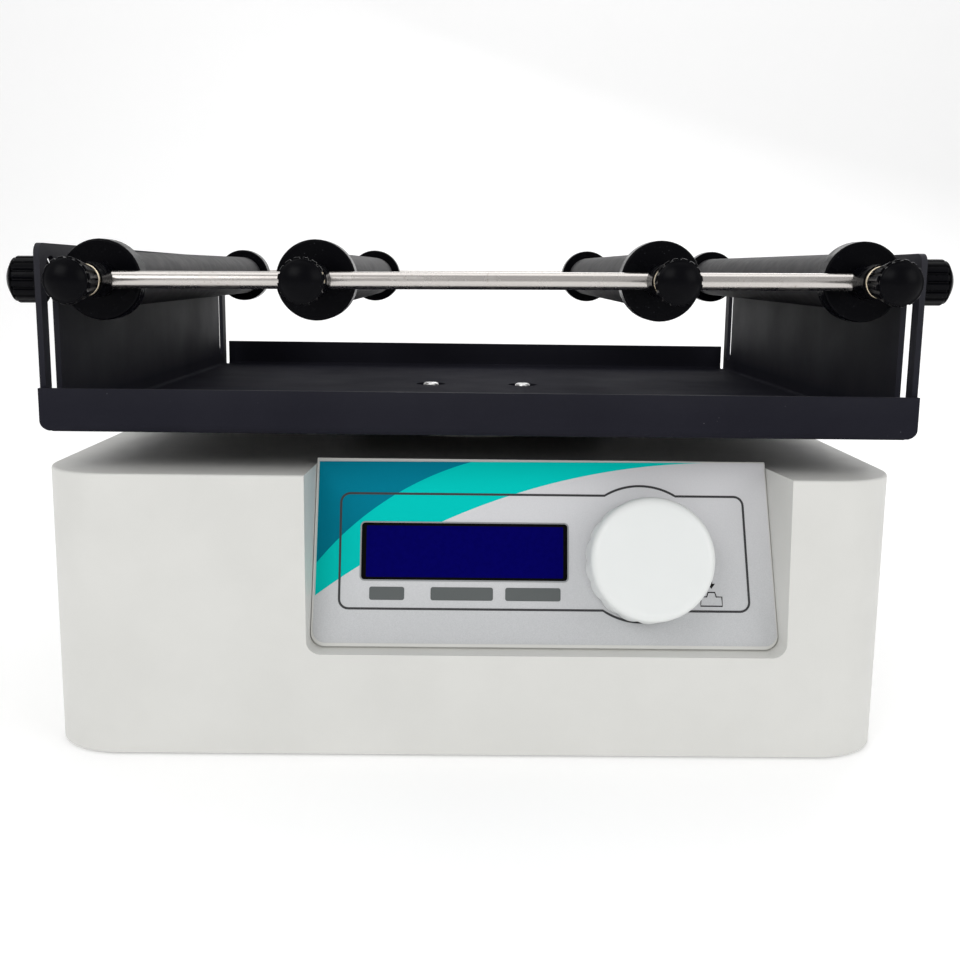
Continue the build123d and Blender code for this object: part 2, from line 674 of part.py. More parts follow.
def bar_knob(x, side):
    """Knob head, clamp screw and brass seat ring, in the frame of one end of a bar."""
    tip = ROD_Y + ROD_R + SCREW_TIP_GAP
    foot = BOSS_END + GAP + RING_T
    head = Pos(0, 0, foot) * knob_head(KNOB_L, KNOB_FOOT_R, KNOB_R)
    head -= disc(0, 0, SCREW_R, foot - 1, foot + 12.0)
    shank = disc(0, 0, SCREW_R, tip, foot + 12.0)
    seat = ring(0, 0, RING_R, SCREW_R, BOSS_END + GAP, foot)
    turn = IN_SLOTS * Pos(x, 0, 0) * Rot(-90 * side, 0, 0)
    return [turn * head, turn * shank, turn * seat]


def frame_knob(end, side):
    """Knob on a threaded end of a cross rod, outside the tray's side wall."""
    foot = WALL_OUT + 0.3
    depth = ROD_IN_KNOB + 0.3
    head = knob_head(FRAME_KNOB_L, FRAME_KNOB_R, FRAME_KNOB_R)
    head -= disc(0, 0, ROD_R + FIT, -1, depth)
    return IN_SLOTS * Pos(end * foot, side * ROD_Y, 0) * Rot(0, 90 * end, 0) * head


def bar_end(x, side):
    """Flanged end fitting of a clamp bar, with the cross hole that the rod runs in."""
    inner = DISC_FRONT - DISC_T
    body = disc(0, 0, DISC_R, inner, DISC_FRONT)
    body = fillet(body.edges().filter_by(GeomType.CIRCLE), 0.8)
    body += disc(0, 0, BOSS_R, DISC_FRONT, BOSS_END)
    body -= disc(0, 0, CORE_R, inner, inner + CORE_SEAT)
    body -= disc(0, 0, SCREW_R + FIT, ROD_Y, BOSS_END)
    body -= rod_along_x(0, ROD_Y, CROSS_HOLE_R, -DISC_R, DISC_R)
    return IN_SLOTS * Pos(x, 0, 0) * Rot(-90 * side, 0, 0) * body


def clamp_bar(x):
    reach = DISC_FRONT - DISC_T + CORE_SEAT
    core = IN_SLOTS * rod_along_y(x, 0, CORE_R, -reach, reach)
    return [bar_end(x, -1), bar_end(x, 1), core]


def bar_sleeve(x):
    reach = DISC_FRONT - DISC_T
    sleeve = rod_along_y(x, 0, SLEEVE_R, -reach, reach)
    return IN_SLOTS * (sleeve - rod_along_y(x, 0, CORE_R, -reach, reach))


# ---------------------------------------------------------------- electrical parts

BOARD_SEAT = 12.0
BOARD_T = 1.6
CONTROL_BOARD = (120.0, -50.0, 44.0, 90.0)     # middle x, middle y, width, depth
SUPPLY_BOARD = (-120.0, 0.0, 44.0, 120.0)


def board_corners(board):
    x, y, width, depth = board
    return [(x + sx * (width / 2 - 5), y + sy * (depth / 2 - 5)) for sx in (-1, 1) for sy in (-1, 1)]


def circuit_board(board):
    x, y, width, depth = board
    return block(x - width / 2, x + width / 2, y - depth / 2, y + depth / 2,
                 BOARD_SEAT, BOARD_SEAT + BOARD_T)


def components(board, pieces):
    """Blocks on a board: offset x and y, width, depth and height."""
    x, y = board[0], board[1]
    top = BOARD_SEAT + BOARD_T
    return [
        block(x + dx - w / 2, x + dx + w / 2, y + dy - d / 2, y + dy + d / 2, top, top + h)
        for dx, dy, w, d, h in pieces
    ]


def control_board():
    pieces = [(-6, 8, 12, 12, 1.6), (10, 22, 14, 8, 18), (8, -8, 8, 6, 1.5),
              (-2, -40, 24, 6, 8), (0, 41, 20, 6, 8), (-12, -24, 10, 10, 11)]
    return [circuit_board(CONTROL_BOARD)] + components(CONTROL_BOARD, pieces)


def power_supply():
    pieces = [(0, 0, 30, 34, 26), (8, 30, 18, 14, 20), (-10, 32, 12, 12, 22),
              (-6, -34, 22, 16, 24), (2, 55, 22, 8, 10), (0, -55, 20, 8, 10)]
    return [circuit_board(SUPPLY_BOARD)] + components(SUPPLY_BOARD, pieces)


def power_inlet():
    body = block(INLET_X - 15.5, INLET_X + 15.5, REAR_Y, REAR_Y + 2.5,
                 REAR_PORT_Z - 12, REAR_PORT_Z + 12)
    body += block(INLET_X - 13.7, INLET_X + 13.7, REAR_Y - 20, REAR_Y,
                  REAR_PORT_Z - 10, REAR_PORT_Z + 10)
    body -= block(INLET_X - 12, INLET_X + 12, REAR_Y - 15, REAR_Y + 2.5,
                  REAR_PORT_Z - 8.2, REAR_PORT_Z + 8.2)
    pieces = [body]
    for dx, dz in ((-7, -1.5), (0, 2.5), (7, -1.5)):
        pieces.append(block(INLET_X + dx - 1, INLET_X + dx + 1, REAR_Y - 15, REAR_Y - 4,
                            REAR_PORT_Z + dz - 2, REAR_PORT_Z + dz + 2))
    return pieces


def switch_body():
    body = block(SWITCH_X - 7.5, SWITCH_X + 7.5, REAR_Y, REAR_Y + 1.5,
                 REAR_PORT_Z - 10.7, REAR_PORT_Z + 10.7)
    body += block(SWITCH_X - 6.4, SWITCH_X + 6.4, REAR_Y - 17, REAR_Y,
                  REAR_PORT_Z - 9.6, REAR_PORT_Z + 9.6)
    body -= block(SWITCH_X - 5.0, SWITCH_X + 5.0, REAR_Y - 10, REAR_Y + 1.5,
                  REAR_PORT_Z - 8.4, REAR_PORT_Z + 8.4)
    pivot = rod_along_x(ROCKER_Y, REAR_PORT_Z, ROCKER_PIN_R + FIT, SWITCH_X - 6.1, SWITCH_X + 6.1)
    return body - pivot


def power_rocker():
    """Paddle that tips about an axis along X; it rests with its lower half pressed in."""
    outline = Polyline((4.6, -7.2), (3.0, 0), (4.6, 7.2), (-1.5, 7.2), (-4.0, 2.5), (-4.0, -2.5),
                       (-1.5, -7.2), close=True)
    paddle = extrude(Plane.YZ * make_face(outline), 4.5, both=True)
    paddle += rod_along_x(0, 0, ROCKER_PIN_R, -6.0, 6.0)
    return Pos(SWITCH_X, ROCKER_Y, REAR_PORT_Z) * Rot(ROCKER_TILT, 0, 0) * paddle


def lead(points, radius, bend):
    """A wire loom: straight runs joined by tangent arcs."""
    path = FilletPolyline(*points, radius=bend)
    section = Plane(origin=path @ 0, z_dir=path % 0) * Circle(radius)
    return sweep(section, path=path)


def wiring():
    out = PANEL.z_dir
    start = PANEL.from_local_coords(Vector(88, -48, BOARD_Z))
    control_x, control_y = CONTROL_BOARD[0], CONTROL_BOARD[1]
    supply_x, supply_y = SUPPLY_BOARD[0], SUPPLY_BOARD[1]
    plug_z = BOARD_SEAT + BOARD_T + 8.0
    bend = 6.0
    panel_lead = lead(
        [start, start - out * 14, (control_x - 2, control_y - 40, 40),
         (control_x - 2, control_y - 40, plug_z)],
        1.8, bend)
    mains_lead = lead(
        [(INLET_X, REAR_Y - 20, REAR_PORT_Z), (INLET_X, REAR_Y - 38, REAR_PORT_Z),
         (supply_x + 2, supply_y + 80, REAR_PORT_Z), (supply_x + 2, supply_y + 57, REAR_PORT_Z),
         (supply_x + 2, supply_y + 57, plug_z + 2)],
        2.2, bend)
    supply_lead = lead(
        [(supply_x, supply_y - 59, 18), (supply_x, supply_y - 80, 18), (supply_x + 24, -102, 14),
         (control_x - 48, -104, 14), (control_x - 32, control_y - 40, 17),
         (control_x - 14, control_y - 40, 17)],
        2.2, bend)
    motor_lead = lead(
        [(control_x, control_y + 44, 18), (control_x, control_y + 64, 18),
         (control_x + 3, control_y + 82, 20), (control_x + 3, MOTOR_Y, 20),
         (MOTOR_X + MOTOR_R + 0.2, MOTOR_Y, 20)],
        2.2, bend)
    return [panel_lead, mains_lead, supply_lead, motor_lead]


# ---------------------------------------------------------------- assembly

def collect():
    PARTS["base_plate"] = base_plate()
    PARTS["rubber_feet"] = rubber_feet()
    PARTS["housing_shell"] = housing_shell()
    PARTS["housing_screws"] = housing_screws()
    PARTS["front_panel"] = front_panel()
    PARTS["display_window"] = display_window()
    PARTS["display_module"] = display_module()
    PARTS["panel_board"] = panel_board()
    PARTS["encoder_body"] = encoder_body()
    PARTS["push_plunger"] = push_plunger()
    PARTS["encoder_shaft"] = encoder_shaft()
    PARTS["dial"] = dial()
    PARTS["control_board"] = control_board()
    PARTS["power_supply"] = power_supply()
    PARTS["power_inlet"] = power_inlet()
    PARTS["switch_body"] = switch_body()
    PARTS["power_rocker"] = power_rocker()
    PARTS["wiring"] = wiring()
    PARTS["bearing_housing"] = bearing_housing()
    PARTS["base_bearings"] = base_bearings()
    PARTS["eccentric_shaft"] = eccentric_shaft()
    PARTS["driven_pulley"] = driven_pulley()
    PARTS["counterweight"] = counterweight()
    PARTS["drive_belt"] = drive_belt()
    PARTS["drive_motor"] = drive_motor()
    PARTS["motor_shaft"] = motor_shaft()
    PARTS["motor_pulley"] = pulley(MOTOR_X, MOTOR_Y, MOTOR_PULLEY_R, 4.0)
    PARTS["motor_bracket"] = motor_bracket()
    PARTS["idler_posts"] = idler_posts()
    PARTS["drive_screws"] = drive_screws()
    for number, (x, y) in enumerate(IDLERS, 1):
        PARTS[f"idler_crank_{number}"] = idler_crank(x, y)
    PARTS["carrier_plate"] = carrier_plate()
    PARTS["carrier_bearings"] = carrier_bearings()
    PARTS["platform_hub"] = platform_hub()
    PARTS["splash_cup"] = splash_cup()
    PARTS["tray"] = tray()
    PARTS["tray_screws"] = tray_screws()
    PARTS["cross_rods"] = cross_rods()
    for side, depth_name in ((-1, "front"), (1, "rear")):
        for end, side_name in ((-1, "left"), (1, "right")):
            PARTS[f"frame_knob_{depth_name}_{side_name}"] = frame_knob(end, side)
    for number, x in enumerate(BAR_PLACES, 1):
        PARTS[f"clamp_bar_{number}"] = clamp_bar(x)
        PARTS[f"bar_sleeve_{number}"] = bar_sleeve(x)
        PARTS[f"bar_knob_{number}_front"] = bar_knob(x, -1)
        PARTS[f"bar_knob_{number}_rear"] = bar_knob(x, 1)


def solids_of(shape):
    """Every solid in a shape or in a list of shapes."""
    if isinstance(shape, (list, tuple)):
        return [solid for item in shape for solid in solids_of(item)]
    return list(shape.solids())


def write():
    os.makedirs("parts", exist_ok=True)
    for name, shape in PARTS.items():
        export_step(Compound(children=solids_of(shape)), f"parts/{name}.step")


collect()
write()
print(len(PARTS), "nodes")
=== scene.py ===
"""Looks of the orbital shaker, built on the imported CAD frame. Blender 4.5.

Metres, z up, the front panel faces -Y. Small sizes are written in millimetres and scaled by MM.
"""

import json
from math import asin, atan2, cos, degrees, hypot, pi, radians, sin, sqrt

import bpy
from mathutils import Matrix, Vector


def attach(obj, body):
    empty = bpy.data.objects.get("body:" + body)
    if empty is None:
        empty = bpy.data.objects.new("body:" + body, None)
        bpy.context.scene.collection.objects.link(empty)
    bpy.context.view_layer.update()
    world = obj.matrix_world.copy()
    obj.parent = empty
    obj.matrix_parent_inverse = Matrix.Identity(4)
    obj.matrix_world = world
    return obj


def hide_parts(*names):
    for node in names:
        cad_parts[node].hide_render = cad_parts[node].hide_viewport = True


MM = 0.001
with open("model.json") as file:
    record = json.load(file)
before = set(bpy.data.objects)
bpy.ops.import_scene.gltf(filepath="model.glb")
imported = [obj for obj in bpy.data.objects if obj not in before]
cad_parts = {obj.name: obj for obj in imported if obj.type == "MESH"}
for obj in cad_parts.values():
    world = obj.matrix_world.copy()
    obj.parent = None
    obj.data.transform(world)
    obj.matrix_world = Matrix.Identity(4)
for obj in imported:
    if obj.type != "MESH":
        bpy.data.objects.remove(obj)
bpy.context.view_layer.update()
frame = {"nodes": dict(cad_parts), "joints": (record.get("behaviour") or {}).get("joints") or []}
JOINTS = {joint["name"]: joint for joint in frame["joints"]}

# ---- Camera, fitted to the photograph's view ----
CAMERA_PLACE = Vector((-1.46, -539.08, 168.1)) * MM
CAMERA_LENS = 43.47
CAMERA_YAW = radians(0.663)         # to the right
CAMERA_PITCH = radians(9.905)       # down
CAMERA_ROLL = radians(0.698)

# ---- Control panel, millimetres from where the middle of its face meets the level of the roof ----
DIAL_PLACE = (63.5, -34.2)
OVERLAY_TOP = (0.9, 1.8)            # at the overlay's left and at its right end
OVERLAY_LOW = -64.1
OVERLAY_LEFT = (-54.7, -55.7)       # at the overlay's top and at its lower edge
OVERLAY_RIGHT = (106.3, 109.8)
OVERLAY_CORNER = 4.3
OVERLAY_T = 0.15
INK = 0.03                          # each printed layer stands this far over the one below
DARK_ARC = (30.3, -103.2, 108.7)    # middle x, middle y and radius of the two colour sweeps
LIGHT_ARC = (92.0, -242.8, 244.6)
FIELD = (-46.6, -51.9, -10.6)       # left, low and top of the thin outline
FIELD_RIGHT = (98.4, 100.1)         # its right edge, at its top and at its lower end
FIELD_CORNER = 3.3
FIELD_LINE = 0.8
BULGE = (61.2, -31.5, 24.5)         # the outline goes round the dial here
LABELS = ((-35.9, -23.4), (-14.0, 8.3), (12.7, 32.5))  # left and right end of each label field
LABEL_LOW = -48.8
LABEL_TOP = -44.1
DISPLAY = (-39.2, 35.2, -41.8, -20.9)  # left, right, low and top of its black frame
DISPLAY_CORNER = 1.5
DISPLAY_FIELD = (-37.2, 33.4, -40.6, -22.2)  # and of the blue field in it
WINDOW_DEEP = 1.0                   # the black frame goes this far into the panel
WINDOW_T = 0.3                      # and stands this far over its face
PRESS_BUTTON = (86.6, -50.0, -46.7, -45.1)  # middle x, then y of its foot, shoulder and top
PRESS_ARROW = (-43.8, -42.0, -40.8)  # y of its tip, barbs and tail
SYMBOL_LINE = 0.45

# ---- Clamp knobs, millimetres: a grip widens from its foot to its rim, and its end is domed ----
KNOB_RIBS = 16
RIB_POINTS = 14                     # points round a grip for each of its ribs or lobes
RIM_IN = 0.6
RIM_T = 1.0
DOME_IN = 1.1
DOME_RISE = 2.5
GROOVE_LOW = 1.6
GROOVE_DEEP = 0.8
GROOVE_HALF = 0.6
BAR_KNOB = (20.0, 5.4, 7.7)         # length, radius of the foot, widest radius
FRAME_KNOB = (12.3, 8.0, 8.0)
BRASS_R = 5.5
BRASS_T = 1.5
SCREW_L = 11.5
SCREW_R = 2.5
SCREW_ROOT_R = 2.1
SCREW_TIP_R = 1.6
SCREW_CHAMFER = 0.5
SCREW_PITCH = 0.8

# ---- Dial, millimetres ----
DIAL_R = 22.4
DIAL_NECK_R = 21.7                  # where the lobed grip meets the rim
DIAL_LOW = 1.2
DIAL_FACE = 16.5
DIAL_LOBES = 18
DIAL_LOBE_DEEP = 0.7

# ---- Tray, metres up: painted sheen, where its coat's gloss starts to rise and where it is full, so its walls look lit higher up ----
SHEEN_PAINT_FROM = 0.122
SHEEN_PAINT_TO = 0.178

# ---- Power rocker: its pivot, its tilt at rest in degrees, and its face, which is a shallow V ----
ROCKER_PIVOT = (-50.0, 146.0, 42.0)
ROCKER_TILT = -8.0
ROCKER_FACE = 3.02                  # the marks start here, just over the middle of the V
ROCKER_HALF = 7.2
ROCKER_RISE = 1.6                   # the V's ends stand this far over its middle
MARK_Z = 4.4
MARK_T = 0.08

# ---- Softened edges of CAD nodes ----
WELD_GAP = 0.005 * MM
EDGE_ANGLE = radians(35.0)          # only edges sharper than this are rounded


# ---------------------------------------------------------------- materials

class Finish:
    """One procedural material on a Principled shader, with textures in object space, in metres."""

    def __init__(self, name, color, roughness, metallic=0.0, **sockets):
        self.material = bpy.data.materials.new(name)
        self.material.use_nodes = True
        self.tree = self.material.node_tree
        self.shader = self.tree.nodes["Principled BSDF"]
        self.shader.inputs["Base Color"].default_value = (*color, 1.0)
        self.shader.inputs["Roughness"].default_value = roughness
        self.shader.inputs["Metallic"].default_value = metallic
        for socket, value in sockets.items():
            self.shader.inputs[socket.replace("_", " ")].default_value = value
        self.place = self.node("ShaderNodeTexCoord").outputs["Object"]
        self.normal = None

    def node(self, kind, **inputs):
        made = self.tree.nodes.new(kind)
        for name, value in inputs.items():
            self.feed(made.inputs[name.replace("_", " ")], value)
        return made

    def feed(self, socket, value):
        if isinstance(value, bpy.types.NodeSocket):
            self.tree.links.new(value, socket)
        else:
            socket.default_value = value

    def stretched(self, x, y, z):
        """Object space with each axis scaled, so that a pattern becomes streaks."""
        mapping = self.node("ShaderNodeMapping", Vector=self.place)
        mapping.inputs["Scale"].default_value = (x, y, z)
        return mapping.outputs["Vector"]

    def noise(self, size, detail=3.0, roughness=0.55, where=None):
        """Soft random values with features about size metres across."""
        made = self.node(
            "ShaderNodeTexNoise", Vector=where or self.place, Scale=1.0 / size,
            Detail=detail, Roughness=roughness,
        )
        return made.outputs["Fac"]

    def cells(self, size):
        made = self.node("ShaderNodeTexVoronoi", Vector=self.place, Scale=1.0 / size)
        return made.outputs["Distance"]

    def rescale(self, value, low, high, out_low=0.0, out_high=1.0):
        made = self.node("ShaderNodeMapRange", Value=value)
        for name, number in (("From Min", low), ("From Max", high),
                             ("To Min", out_low), ("To Max", out_high)):
            made.inputs[name].default_value = number
        return made.outputs["Result"]

    def product(self, a, b):
        made = self.tree.nodes.new("ShaderNodeMath")
        made.operation = "MULTIPLY"
        self.feed(made.inputs[0], a)
        self.feed(made.inputs[1], b)
        return made.outputs["Value"]

    def part_of_place(self, axis):
        split = self.node("ShaderNodeSeparateXYZ", Vector=self.place)
        return split.outputs[axis]

    def mixed(self, share, a, b):
        made = self.tree.nodes.new("ShaderNodeMix")
        made.data_type = "RGBA"
        self.feed(made.inputs[0], share)
        self.feed(made.inputs[6], (*a, 1.0) if isinstance(a, tuple) else a)
        self.feed(made.inputs[7], (*b, 1.0) if isinstance(b, tuple) else b)
        return made.outputs[2]

    def color(self, value):
        self.feed(self.shader.inputs["Base Color"], value)
        return self

    def roughness(self, value):
        self.feed(self.shader.inputs["Roughness"], value)
        return self

    def bump(self, height, distance):
        """Adds relief of that depth in metres on top of any relief already there."""
        made = self.node("ShaderNodeBump", Height=height)
        made.inputs["Distance"].default_value = distance
        if self.normal is not None:
            self.feed(made.inputs["Normal"], self.normal)
        self.normal = made.outputs["Normal"]
        self.feed(self.shader.inputs["Normal"], self.normal)
        return self


def moulded_plastic(name, light, dark, roughness, grain=0.00045, relief=0.00002, specular=0.5):
    """Injection-moulded plastic: spark-eroded grain, faint cloudiness and slightly uneven gloss."""
    made = Finish(name, light, roughness, Specular_IOR_Level=specular)
    cloud = made.noise(0.035, detail=4.0)
    made.color(made.mixed(made.rescale(cloud, 0.35, 0.65), light, dark))
    fine = made.noise(grain, detail=2.0)
    made.roughness(made.rescale(made.noise(0.006), 0.3, 0.7, roughness - 0.05, roughness + 0.06))
    return made.bump(fine, relief)


def powder_coat(name, light, dark, roughness, specular):
    """Baked powder coat: orange peel, a finer sparkle grain, and a little dust on its faces.
    specular is its gloss low down and its gloss high up; on the tray this is a painted sheen, dull
    at the floor and glossy high on the walls, so the walls look lit higher up."""
    made = Finish(name, light, roughness)
    # painted sheen: the gloss rises with height, so the tray's walls look lit higher up and shaded
    # near the floor
    painted_sheen = made.rescale(made.part_of_place("Z"), SHEEN_PAINT_FROM, SHEEN_PAINT_TO, *specular)
    made.feed(made.shader.inputs["Specular IOR Level"], painted_sheen)
    peel = made.noise(0.0011, detail=2.0)
    grain = made.noise(0.00035, detail=2.0, roughness=0.7)
    cloud = made.noise(0.05, detail=5.0)
    body = made.mixed(made.rescale(cloud, 0.3, 0.7), light, dark)
    speck = made.rescale(made.cells(0.0040), 0.060, 0.025)
    rare = made.rescale(made.noise(0.016, detail=1.0), 0.50, 0.62)
    dust = made.product(made.product(speck, rare), 0.30)
    made.color(made.mixed(dust, body, (0.22, 0.22, 0.24)))
    made.roughness(made.rescale(cloud, 0.3, 0.7, roughness - 0.05, roughness + 0.08))
    made.bump(peel, 0.00003)
    return made.bump(grain, 0.000010)


def drawn_rod(name):
    """Drawn stainless rod: fine lines along its length, faint warm tarnish and pinprick specks."""
    made = Finish(name, (0.59, 0.56, 0.54), 0.30, metallic=1.0)
    lines = made.noise(0.0012, detail=3.0, where=made.stretched(0.02, 1.0, 1.0))
    patch = made.rescale(made.noise(0.012, detail=4.0, roughness=0.6), 0.50, 0.70)
    speck = made.rescale(made.noise(0.0011, detail=2.0), 0.62, 0.72)
    stain = made.product(patch, made.product(speck, 0.8))
    clean = made.mixed(lines, (0.54, 0.51, 0.49), (0.64, 0.61, 0.58))
    made.color(made.mixed(stain, clean, (0.28, 0.22, 0.17)))
    made.roughness(made.rescale(patch, 0.0, 1.0, 0.26, 0.36))
    return made.bump(lines, 0.000001)


def turned_metal(name, light, dark, roughness):
    """Machined metal with the fine rings that a lathe leaves round an upright axis."""
    made = Finish(name, light, roughness, metallic=1.0)
    rings = made.noise(0.00035, detail=3.0, where=made.stretched(0.05, 0.05, 1.0))
    made.color(made.mixed(rings, dark, light))
    made.roughness(made.rescale(rings, 0.3, 0.7, roughness - 0.06, roughness + 0.08))
    return made.bump(rings, 0.000004)


def zinc_sheet(name):
    """Zinc-plated steel: large pale crystals, slightly dull."""
    made = Finish(name, (0.60, 0.61, 0.62), 0.42, metallic=0.9)
    crystals = made.cells(0.009)
    made.color(made.mixed(crystals, (0.66, 0.67, 0.68), (0.50, 0.52, 0.55)))
    made.roughness(made.rescale(made.noise(0.004), 0.3, 0.7, 0.34, 0.52))
    return made.bump(made.noise(0.0006), 0.000006)


def rubber(name, light, dark, roughness, grain=0.0005):
    """Matt rubber: a fine pitted skin with paler rubbed patches."""
    made = Finish(name, light, roughness, Specular_IOR_Level=0.12)
    rubbed = made.rescale(made.noise(0.014, detail=4.0), 0.42, 0.66)
    made.color(made.mixed(rubbed, dark, light))
    made.roughness(made.rescale(made.noise(0.005), 0.3, 0.7, roughness - 0.06, roughness + 0.05))
    return made.bump(made.noise(grain, detail=3.0, roughness=0.65), 0.00002)


def polished_black(name):
    """Turned and polished black plastic that has picked up dust and faint handling marks."""
    made = Finish(name, (0.002, 0.002, 0.003), 0.26, Specular_IOR_Level=0.05)
    smear = made.rescale(made.noise(0.006, detail=5.0, roughness=0.65), 0.45, 0.72)
    speck = made.rescale(made.cells(0.0016), 0.16, 0.07)
    dust = made.product(made.product(speck, smear), 0.22)
    made.color(made.mixed(dust, (0.002, 0.002, 0.003), (0.20, 0.21, 0.24)))
    made.roughness(made.rescale(smear, 0.0, 1.0, 0.20, 0.42))
    return made.bump(made.noise(0.0010, detail=2.0), 0.000006)


def circuit_board(name):
    """Green solder mask over copper tracks, which stand up a little."""
    made = Finish(name, (0.02, 0.17, 0.08), 0.38)
    tracks = made.rescale(made.cells(0.0034), 0.30, 0.36)
    made.color(made.mixed(tracks, (0.012, 0.11, 0.05), (0.03, 0.21, 0.10)))
    made.roughness(made.rescale(made.noise(0.003), 0.3, 0.7, 0.3, 0.45))
    return made.bump(tracks, 0.00004)


def cast_iron(name):
    made = Finish(name, (0.10, 0.10, 0.11), 0.6, metallic=0.3)
    skin = made.noise(0.0012, detail=4.0, roughness=0.7)
    made.color(made.mixed(skin, (0.07, 0.07, 0.08), (0.14, 0.14, 0.15)))
    made.roughness(made.rescale(skin, 0.3, 0.7, 0.5, 0.72))
    return made.bump(skin, 0.00008)


def silver_overlay(name):
    """Printed overlay: silver ink with a fine metallic grain under satin film, and a painted sheen
    that makes it lighter at the top and darker low down.
    """
    made = Finish(name, (0.66, 0.66, 0.68), 0.42, metallic=0.10, Specular_IOR_Level=0.4)
    flake = made.noise(0.00028, detail=2.0, roughness=0.7)
    # painted sheen: the silver is lighter towards the top of the panel and darker low down
    height = made.rescale(made.part_of_place("Y"), -0.055, -0.005)
    tone = made.mixed(height, (0.53, 0.54, 0.55), (0.74, 0.74, 0.76))
    made.color(made.mixed(made.rescale(flake, 0.35, 0.65, 0.0, 0.25), tone, (0.86, 0.86, 0.88)))
    made.roughness(made.rescale(flake, 0.3, 0.7, 0.38, 0.5))
    return made.bump(made.noise(0.0004, detail=2.0), 0.000005)


def printed_ink(name, color, other=None):
    """A printed colour, which may fade to another towards the top of the panel."""
    made = Finish(name, color, 0.45, Specular_IOR_Level=0.03)
    fade = made.rescale(made.part_of_place("Y"), -0.050, 0.0)
    grain = made.rescale(made.noise(0.0004, detail=2.0), 0.3, 0.7, 0.0, 0.12)
    tone = made.mixed(fade, color, other or color)
    lifted = tuple(1.25 * part for part in color)
    made.color(made.mixed(grain, tone, lifted))
    made.roughness(made.rescale(grain, 0.0, 0.12, 0.42, 0.50))
    return made.bump(made.noise(0.0004, detail=2.0), 0.000005)


def display_glass(name, color):
    """Dark window with a low-glare film, and a faint grain in the colour under it."""
    made = Finish(name, color, 0.28, Specular_IOR_Level=0.02)
    grid = made.rescale(made.noise(0.0015, detail=1.0), 0.35, 0.65)
    brighter = tuple(1.12 * part + 0.0003 for part in color)
    made.color(made.mixed(grid, color, brighter))
    made.roughness(made.rescale(made.noise(0.02), 0.3, 0.7, 0.24, 0.34))
    return made


def brass(name):
    made = Finish(name, (0.80, 0.68, 0.48), 0.26, metallic=1.0)
    wear = made.noise(0.0015, detail=4.0)
    made.color(made.mixed(wear, (0.66, 0.53, 0.33), (0.92, 0.84, 0.68)))
    made.roughness(made.rescale(wear, 0.3, 0.7, 0.18, 0.36))
    return made.bump(made.noise(0.0004), 0.000005)


def make_finishes():
    return {
        "housing_white": moulded_plastic(
            "housing_white", (0.72, 0.718, 0.69), (0.69, 0.688, 0.66), 0.45, specular=0.3),
        "plate_zinc": zinc_sheet("plate_zinc"),
        "foot_rubber": rubber("foot_rubber", (0.045, 0.045, 0.045), (0.025, 0.025, 0.025), 0.75),
        "screw_steel": turned_metal("screw_steel", (0.78, 0.78, 0.77), (0.60, 0.60, 0.60), 0.26),
        "panel_silver": silver_overlay("panel_silver"),
        "display_blue": display_glass("display_blue", (0.0006, 0.0, 0.098)),
        "board_green": circuit_board("board_green"),
        "part_dark": moulded_plastic(
            "part_dark", (0.035, 0.035, 0.037), (0.028, 0.028, 0.03), 0.45),
        "lead_black": rubber("lead_black", (0.03, 0.03, 0.03), (0.02, 0.02, 0.02), 0.5, 0.0003),
        "dial_white": moulded_plastic(
            "dial_white", (0.82, 0.84, 0.83), (0.80, 0.82, 0.81), 0.34, 0.0006, 0.000005),
        "machined_alu": turned_metal("machined_alu", (0.78, 0.78, 0.79), (0.66, 0.66, 0.67), 0.34),
        "shaft_steel": turned_metal("shaft_steel", (0.68, 0.68, 0.68), (0.55, 0.55, 0.56), 0.24),
        "bearing_steel": turned_metal(
            "bearing_steel", (0.76, 0.76, 0.77), (0.66, 0.66, 0.67), 0.16),
        "weight_iron": cast_iron("weight_iron"),
        "belt_rubber": rubber("belt_rubber", (0.04, 0.04, 0.04), (0.022, 0.022, 0.022), 0.65),
        "motor_steel": powder_coat(
            "motor_steel", (0.15, 0.15, 0.16), (0.12, 0.12, 0.13), 0.42, (0.45, 0.45)),
        "cup_black": moulded_plastic(
            "cup_black", (0.007, 0.007, 0.009), (0.005, 0.005, 0.006), 0.45, specular=0.08),
        # the tray's gloss rises from its floor up its walls: a painted sheen
        "tray_black": powder_coat(
            "tray_black", (0.019, 0.019, 0.026), (0.015, 0.015, 0.021), 0.60, (0.006, 0.28)),
        "rod_stainless": drawn_rod("rod_stainless"),
        "bar_black": polished_black("bar_black"),
        "sleeve_grey": rubber("sleeve_grey", (0.050, 0.048, 0.050), (0.040, 0.039, 0.041), 0.60),
        "knob_black": moulded_plastic(
            "knob_black", (0.002, 0.002, 0.003), (0.001, 0.001, 0.002), 0.30, 0.0005, 0.000010,
            specular=0.06),
        "brass": brass("brass"),
        "ink_dark_teal": printed_ink("ink_dark_teal", (0.0, 0.13, 0.19), (0.0, 0.24, 0.36)),
        "ink_turquoise": printed_ink("ink_turquoise", (0.0, 0.48, 0.43), (0.0, 0.68, 0.62)),
        "ink_line": printed_ink("ink_line", (0.060, 0.060, 0.063)),
        "ink_label": printed_ink("ink_label", (0.12, 0.13, 0.13)),
        "ink_black": printed_ink("ink_black", (0.012, 0.010, 0.010)),
        "display_frame": display_glass("display_frame", (0.003, 0.003, 0.003)),
        "display_rim": printed_ink("display_rim", (0.30, 0.31, 0.32)),
        "mark_white": printed_ink("mark_white", (0.75, 0.75, 0.75)),
    }


FINISHES = make_finishes()


# ---------------------------------------------------------------- mesh helpers

